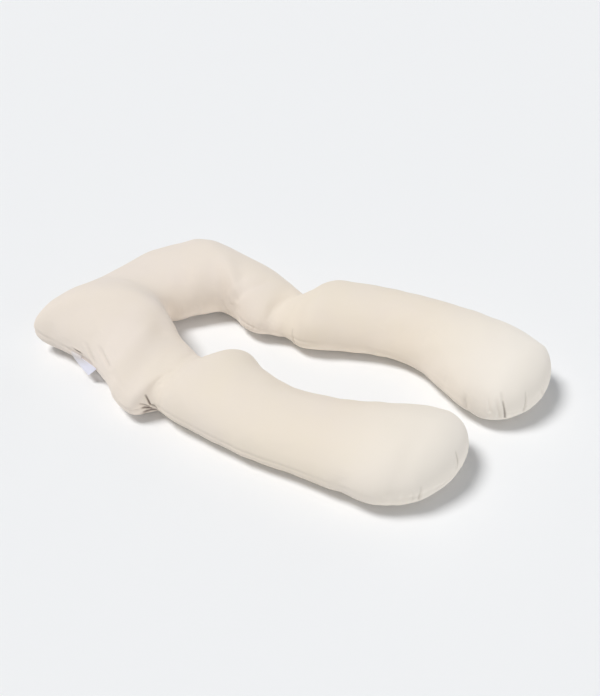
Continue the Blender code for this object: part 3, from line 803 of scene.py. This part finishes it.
def satin_ribbon(settings, length):
    """Woven polyester satin: cold white with a low gloss, with painted shade near its root, where the
    cloth's colour also shows through.

    Its warp threads are 0.25 mm apart; they are drawn as ribs 0.8 mm apart, so that they show.
    """
    material, tree, shader = new_material("woven_satin_ribbon", {
        "Roughness": 0.42, "Specular IOR Level": 0.4, "Sheen Weight": 0.1})
    chart = add_node(tree, "ShaderNodeUVMap", uv_map="ribbon").outputs["UV"]
    along = add_node(tree, "ShaderNodeSeparateXYZ", {"Vector": chart}).outputs["X"]
    start, full = (share * length for share in RIBBON_SHADE_SHARES)
    # Painted shade: greyer near the root, lighter towards the free end.
    unshaded = add_node(tree, "ShaderNodeMapRange", {"Value": along},
                     {"From Min": start, "From Max": full})
    tone = add_node(tree, "ShaderNodeMix", {"Factor": unshaded.outputs["Result"]},
                    {"A": settings.root_shade_colour, "B": settings.ribbon_colour}, data_type="RGBA")
    tree.links.new(tone.outputs["Result"], shader.inputs["Base Color"])
    ribs = add_node(tree, "ShaderNodeTexWave", {"Vector": chart},
                    {"Scale": wave_scale(RIB_PITCH), "Distortion": 0.3}, bands_direction="Y")
    raised = add_node(tree, "ShaderNodeBump", {"Height": ribs.outputs["Fac"]},
                      {"Strength": 0.15, "Distance": 0.0001})
    tree.links.new(raised.outputs["Normal"], shader.inputs["Normal"])
    return material


def paper_sweep(settings):
    """Matt background paper: one even pale grey with no gloss."""
    return new_material("paper_sweep", {
        "Base Color": settings.floor_colour, "Roughness": 1.0, "Specular IOR Level": 0.0})[0]


# ---- light -------------------------------------------------------------------------------------

def facing(travel):
    """Rotation of a lamp or camera that points along a direction, upright."""
    return Vector(travel).to_track_quat("-Z", "Y").to_euler()


def new_sun(name, strength, spread, travel, shadow=True):
    """Parallel light of one strength, softened by its spread, that travels along a direction."""
    data = bpy.data.lights.new(name, "SUN")
    data.energy = strength
    data.angle = spread
    data.use_shadow = shadow
    lamp = bpy.data.objects.new(name, data)
    lamp.rotation_euler = facing(travel)
    bpy.context.scene.collection.objects.link(lamp)


def even_sky(settings):
    """World of even light; the camera sees it as the backdrop's plain colour."""
    world = bpy.data.worlds.new("studio")
    world.use_nodes = True
    tree = world.node_tree
    tree.nodes.clear()
    rays = add_node(tree, "ShaderNodeLightPath")
    light = add_node(tree, "ShaderNodeBackground", None,
                     {"Color": settings.sky_colour, "Strength": settings.sky})
    seen = add_node(tree, "ShaderNodeBackground", None, {"Color": settings.backdrop_colour})
    both = add_node(tree, "ShaderNodeMixShader", {
        "Fac": rays.outputs["Is Camera Ray"], 1: light.outputs[0], 2: seen.outputs[0]})
    add_node(tree, "ShaderNodeOutputWorld", {"Surface": both.outputs[0]})
    return world


# ---- settings ----------------------------------------------------------------------------------

class CoverSettings(PropertyGroup):
    """Sizes and colours of the stuffed cover."""

    slimmer: FloatProperty(name="Slimmer", default=0.004, unit="LENGTH",
                           description="How much slimmer the cover is before it is stuffed")
    pressure: FloatProperty(name="Pressure", default=4.0,
                            description="How hard the filling presses")
    frames: IntProperty(name="Frames", default=20, description="Steps of the stuffing")
    most_movement: FloatProperty(name="Most movement", default=0.012, unit="LENGTH",
                                 description="The farthest that the stuffing moves a point")
    seam_gather: FloatProperty(name="Seam gather", default=0.035,
                               description="Share by which the thread shortens the seam")
    held_shape: FloatProperty(name="Held shape", default=0.9, min=0.0, max=1.0,
                              description="Share of the slow changes of shape that is left out")
    wrinkle_share: FloatProperty(name="Wrinkle share", default=0.25, min=0.0, max=1.0,
                                 description="Share of the wrinkles kept: the rest is smoothed out")
    seam_width: FloatProperty(name="Seam width", default=0.009, unit="LENGTH",
                              description="From the stitches to the lip of the seam")
    seam_depth: FloatProperty(name="Seam depth", default=0.0014, unit="LENGTH",
                              description="How far the stitches draw the cloth in")
    pucker_height: FloatProperty(name="Pucker height", default=0.0016, unit="LENGTH",
                                 description="Height of the puckers beside the seam")
    lump_height: FloatProperty(name="Lump height", default=0.0016, unit="LENGTH",
                               description="Unevenness of the filling")
    cloth_colour: FloatVectorProperty(name="Cloth", default=linear("#EBDFCE"), size=4,
                                      subtype="COLOR", description="Colour of the cotton")
    pink_colour: FloatVectorProperty(name="Pink", default=linear("#EADED2"), size=4,
                                     subtype="COLOR", description="Colour of its pinker clouds")
    # Painted light: the lighter colour painted on the arm ends, where more light falls.
    end_light_colour: FloatVectorProperty(name="Ends", default=linear("#F2EBE1"), size=4,
                                    subtype="COLOR", description="Colour of the arm ends")
    # Painted shade: the brown painted into the bottoms of tight pleats and soft hollows.
    pleat_shade_colour: FloatVectorProperty(name="Pleats", default=linear("#4A3024"), size=4,
                                      subtype="COLOR", description="Colour deep in a pleat")


class LabelSettings(PropertyGroup):
    """Sizes and colours of the ribbon label."""

    label_rows: IntProperty(name="Rows", default=46, description="Rows of points in each layer")
    label_columns: IntProperty(name="Columns", default=21, description="Points across the ribbon")
    ribbon_thickness: FloatProperty(name="Thickness", default=0.0003, unit="LENGTH",
                                    description="Thickness of the ribbon")
    fold_radius: FloatProperty(name="Fold radius", default=0.0006, unit="LENGTH",
                               description="Radius of the fold at the free end")
    bulge: FloatProperty(name="Bulge", default=0.0010, unit="LENGTH",
                         description="How far the two layers part in the middle")
    curl: FloatProperty(name="Curl", default=0.0016, unit="LENGTH",
                        description="How far the edges curl at the free end")
    corner_lift: FloatProperty(name="Corner lift", default=0.0050, unit="LENGTH",
                               description="How far the free end's upper corner lifts")
    ribbon_colour: FloatVectorProperty(name="Ribbon", default=linear("#E9E8F4"), size=4,
                                       subtype="COLOR", description="Colour of the free end")
    # Painted shade: the greyer colour painted near the root, beside the seam.
    root_shade_colour: FloatVectorProperty(name="Root", default=linear("#CFC9C6"), size=4,
                                     subtype="COLOR", description="Colour beside the seam")


class StageSettings(PropertyGroup):
    """Strengths and colours of the floor and the lights."""

    floor_colour: FloatVectorProperty(name="Floor", default=linear("#EFEFEF"), size=4,
                                      subtype="COLOR", description="Colour of the paper")
    sky_colour: FloatVectorProperty(name="Sky colour", default=linear("#EEF4FB"), size=4,
                                    subtype="COLOR", description="Colour of the even light")
    backdrop_colour: FloatVectorProperty(name="Backdrop", default=linear("#EFF1F3"), size=4,
                                         subtype="COLOR", description="Colour past the paper")
    sky: FloatProperty(name="Sky", default=0.29, description="Strength of the even light")
    key: FloatProperty(name="Key", default=2.33, description="Strength of the key light")
    key_spread: FloatProperty(name="Key spread", default=math.radians(20), subtype="ANGLE",
                              description="Width of the key light, which softens the shadow")
    fill: FloatProperty(name="Fill", default=0.95, description="Strength of the low fill light")
    back: FloatProperty(name="Back", default=0.40, description="Strength of the low back light")
    soft_spread: FloatProperty(name="Soft spread", default=math.radians(50), subtype="ANGLE",
                               description="Width of the fill and back lights")


# ---- operators ---------------------------------------------------------------------------------

class PILLOW_OT_make_cover(Operator):
    """Make the stuffed cotton cover"""

    bl_idname = "pillow.make_cover"
    bl_label = "Make Cover"

    def execute(self, context):
        settings = context.scene.pillow_cover
        tube = Tube()
        girth = Girth(COVER_GRID)
        places = tube.ring_places(COVER_GRID, CLOSE_STRETCHES)
        rings = tube.rings(places)
        cut = tube_points(rings, girth)
        points = cut.copy()
        coarse, around, moved = stuffed(tube, settings)
        points += finer(coarse, around, moved, places, girth.place)
        folds, hidden = folded(cut, grid_normals(cut))
        push = seamed(tube, places, rings, girth, settings) + lumps(points, settings) + folds
        points += push[..., None] * grid_normals(points)
        points[..., 2] = np.maximum(points[..., 2], 0.0)
        tips = tip_points(tube)
        shift = pattern_shift(tube)
        points[..., :2] += shift
        tips[:, :2] += shift
        along = np.concatenate([np.repeat(places, len(girth.place)), tube_ends(tube)])
        round_it = np.concatenate([np.tile(girth.flat, len(places)), [0.0, 0.0]])
        mesh = closed_tube_mesh("cotton_cover", points, tips, np.stack([along, round_it], axis=1))
        # Painted shade: how dark each point at the bottom of a fold is painted.
        painted_shade = mesh.attributes.new("painted_shade", "FLOAT", "POINT")
        painted_shade.data.foreach_set("value", np.concatenate([hidden.ravel(), [0.0, 0.0]]))
        cover = new_object("cotton_cover", mesh, brushed_cotton(settings))
        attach(cover, BODY)
        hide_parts("pillow")
        return {"FINISHED"}


class PILLOW_OT_make_label(Operator):
    """Make the ribbon label, folded double and sewn into the seam"""

    bl_idname = "pillow.make_label"
    bl_label = "Make Label"

    def execute(self, context):
        settings = context.scene.pillow_label
        cover = bpy.data.objects["cotton_cover"]
        tube = Tube()
        points = label_points(tube, settings)
        points[..., :2] += pattern_shift(tube)
        root = 0.5 * (points[0] + points[-1]).mean(axis=0)
        seam = mesh_points(cover.data)
        nearest = seam[np.argmin(np.linalg.norm(seam - root, axis=1))]
        points += nearest - root
        mesh, length = ribbon_mesh(points)
        label = new_object("ribbon_label", mesh, satin_ribbon(settings, length))
        solidify = label.modifiers.new("thickness", "SOLIDIFY")
        solidify.thickness = settings.ribbon_thickness
        solidify.offset = 0.0
        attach(label, BODY)
        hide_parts("side_label")
        return {"FINISHED"}


class PILLOW_OT_make_stage(Operator):
    """Make the paper floor, the lights and the camera"""

    bl_idname = "pillow.make_stage"
    bl_label = "Make Stage"

    def execute(self, context):
        settings = context.scene.pillow_stage
        scene = context.scene
        half, low = FLOOR_HALF_SIZE, -FLOOR_DROP
        corners = [(-half, -half, low), (half, -half, low), (half, half, low), (-half, half, low)]
        mesh = bpy.data.meshes.new("floor")
        mesh.from_pydata(corners, [], [(0, 1, 2, 3)])
        floor = new_object("floor", mesh, paper_sweep(settings))

        scene.world = even_sky(settings)
        new_sun("key", settings.key, settings.key_spread, KEY_TRAVEL)
        new_sun("fill", settings.fill, settings.soft_spread, FILL_TRAVEL, shadow=False)
        new_sun("back", settings.back, settings.soft_spread, BACK_TRAVEL, shadow=False)

        camera_data = bpy.data.cameras.new("camera")
        camera_data.sensor_width = SENSOR_SIZE
        camera_data.lens = SENSOR_SIZE * FOCAL_PIXELS / IMAGE_HEIGHT
        camera_data.clip_end = CAMERA_REACH
        camera = bpy.data.objects.new("camera", camera_data)
        camera.location = CAMERA_PLACE
        camera.rotation_euler = facing(Vector(CAMERA_AIM) - Vector(CAMERA_PLACE))
        scene.collection.objects.link(camera)
        scene.camera = camera
        scene.view_settings.view_transform = "Standard"
        return {"FINISHED"}


class PILLOW_PT_sidebar(Panel):
    """Lists the buttons that make the pieces and the stage"""

    bl_idname = "PILLOW_PT_sidebar"
    bl_label = "Body Pillow"
    bl_space_type = "VIEW_3D"
    bl_region_type = "UI"
    bl_category = "Pillow"

    def draw(self, context):
        layout = self.layout
        for operator in MAKERS:
            layout.operator(operator.bl_idname)


MAKERS = (PILLOW_OT_make_cover, PILLOW_OT_make_label, PILLOW_OT_make_stage)
CLASSES = (CoverSettings, LabelSettings, StageSettings, *MAKERS, PILLOW_PT_sidebar)


def register():
    for part in CLASSES:
        bpy.utils.register_class(part)
    bpy.types.Scene.pillow_cover = PointerProperty(type=CoverSettings)
    bpy.types.Scene.pillow_label = PointerProperty(type=LabelSettings)
    bpy.types.Scene.pillow_stage = PointerProperty(type=StageSettings)


def unregister():
    for name in ("pillow_cover", "pillow_label", "pillow_stage"):
        delattr(bpy.types.Scene, name)
    for part in reversed(CLASSES):
        bpy.utils.unregister_class(part)


def main():
    register()
    bpy.ops.pillow.make_cover()
    bpy.ops.pillow.make_label()
    bpy.ops.pillow.make_stage()


if __name__ == "__main__":
    main()
